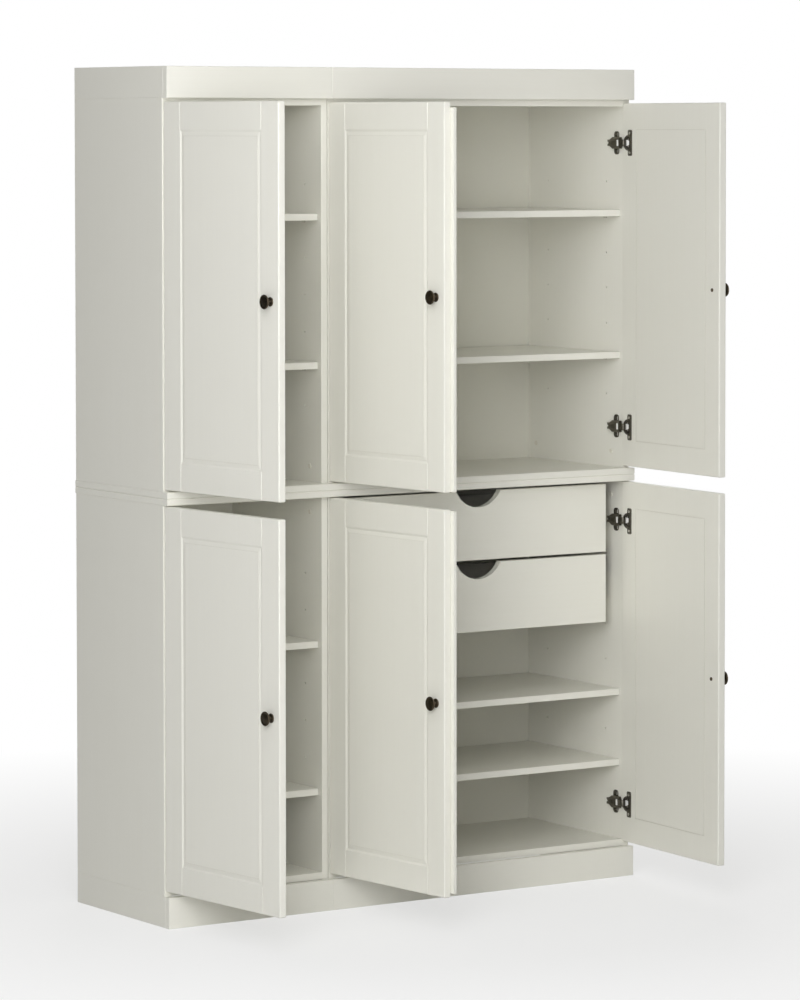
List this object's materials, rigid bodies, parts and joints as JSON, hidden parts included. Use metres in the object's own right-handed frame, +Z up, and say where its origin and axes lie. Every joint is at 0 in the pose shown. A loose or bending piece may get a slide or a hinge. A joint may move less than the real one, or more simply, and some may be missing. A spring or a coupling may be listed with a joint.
{
  "type": "pantry cabinet",
  "caption": "Tall freestanding pantry cabinet of stacked units, with framed hinged doors, round knobs, adjustable shelves, inner drawers with finger cut-outs, a plinth and a crown.",
  "frame": {"origin": "on the floor, below the middle of the bounding box with the doors standing open, close under the front plane", "axes": "+X to the right along the front, +Y from the front to the back, +Z up"},
  "size_m": [1.334, 0.8648, 2],
  "materials": {
    "painted_wood": "satin paint, warm white",
    "back_board": "thin board, warm white",
    "dark_bronze": "antique bronze, dark",
    "hinge_steel": "nickel plated",
    "peg_steel": "plain",
    "cap_plastic": "cream"
  },
  "bodies": {
    "carcass": {"plinth_front_left": "painted_wood", "plinth_front_right": "painted_wood", "plinth_sides": "painted_wood", "crown_front_left": "painted_wood", "crown_front_right": "painted_wood", "crown_sides": "painted_wood", "shelf_pegs": "peg_steel", "cover_caps": "cap_plastic", "drawer_runners": "painted_wood", "hinge_arms": "hinge_steel", "hinge_plates": "hinge_steel", "lower_left_left_side": "painted_wood", "lower_left_right_side": "painted_wood", "lower_left_top": "painted_wood", "lower_left_bottom": "painted_wood", "lower_left_back": "back_board", "lower_left_shelves": "painted_wood", "lower_right_left_side": "painted_wood", "lower_right_right_side": "painted_wood", "lower_right_top": "painted_wood", "lower_right_bottom": "painted_wood", "lower_right_back": "back_board", "lower_right_shelves": "painted_wood", "upper_left_left_side": "painted_wood", "upper_left_right_side": "painted_wood", "upper_left_top": "painted_wood", "upper_left_bottom": "painted_wood", "upper_left_back": "back_board", "upper_left_shelves": "painted_wood", "upper_right_left_side": "painted_wood", "upper_right_right_side": "painted_wood", "upper_right_top": "painted_wood", "upper_right_bottom": "painted_wood", "upper_right_back": "back_board", "upper_right_shelves": "painted_wood"},
    "lower_left_door": {"lower_left_door": "painted_wood", "lower_left_door_knob": "dark_bronze", "lower_left_door_hinge_cups": "hinge_steel"},
    "lower_middle_door": {"lower_middle_door": "painted_wood", "lower_middle_door_knob": "dark_bronze", "lower_middle_door_hinge_cups": "hinge_steel", "lower_middle_door_astragal": "painted_wood"},
    "lower_right_door": {"lower_right_door": "painted_wood", "lower_right_door_knob": "dark_bronze", "lower_right_door_hinge_cups": "hinge_steel"},
    "upper_left_door": {"upper_left_door": "painted_wood", "upper_left_door_knob": "dark_bronze", "upper_left_door_hinge_cups": "hinge_steel"},
    "upper_middle_door": {"upper_middle_door": "painted_wood", "upper_middle_door_knob": "dark_bronze", "upper_middle_door_hinge_cups": "hinge_steel", "upper_middle_door_astragal": "painted_wood"},
    "upper_right_door": {"upper_right_door": "painted_wood", "upper_right_door_knob": "dark_bronze", "upper_right_door_hinge_cups": "hinge_steel"},
    "upper_drawer": {"upper_drawer_front": "painted_wood", "upper_drawer_box": "painted_wood"},
    "lower_drawer": {"lower_drawer_front": "painted_wood", "lower_drawer_box": "painted_wood"}
  },
  "joints": [
    {"name": "lower_left_door_hinge", "type": "hinge", "parent": "carcass", "child": "lower_left_door", "pos_m": [-0.653, 0.00416, 0.5335], "axis": [0, 0, -1], "range_deg": [-85, 10]},
    {"name": "lower_middle_door_hinge", "type": "hinge", "parent": "carcass", "child": "lower_middle_door", "pos_m": [-0.203, 0.00416, 0.5335], "axis": [0, 0, -1], "range_deg": [-85, 10]},
    {"name": "lower_right_door_hinge", "type": "hinge", "parent": "carcass", "child": "lower_right_door", "pos_m": [0.653, 0.00416, 0.5335], "axis": [0, 0, 1], "range_deg": [-86, 10]},
    {"name": "upper_left_door_hinge", "type": "hinge", "parent": "carcass", "child": "upper_left_door", "pos_m": [-0.653, 0.00416, 1.469], "axis": [0, 0, -1], "range_deg": [-85, 10]},
    {"name": "upper_middle_door_hinge", "type": "hinge", "parent": "carcass", "child": "upper_middle_door", "pos_m": [-0.203, 0.00416, 1.469], "axis": [0, 0, -1], "range_deg": [-85, 10]},
    {"name": "upper_right_door_hinge", "type": "hinge", "parent": "carcass", "child": "upper_right_door", "pos_m": [0.653, 0.00416, 1.469], "axis": [0, 0, 1], "range_deg": [-86, 10]},
    {"name": "upper_drawer_slide", "type": "slide", "parent": "carcass", "child": "upper_drawer", "axis": [0, -1, 0], "range_m": [0, 0.25]},
    {"name": "lower_drawer_slide", "type": "slide", "parent": "carcass", "child": "lower_drawer", "axis": [0, -1, 0], "range_m": [0, 0.25]}
  ]
}
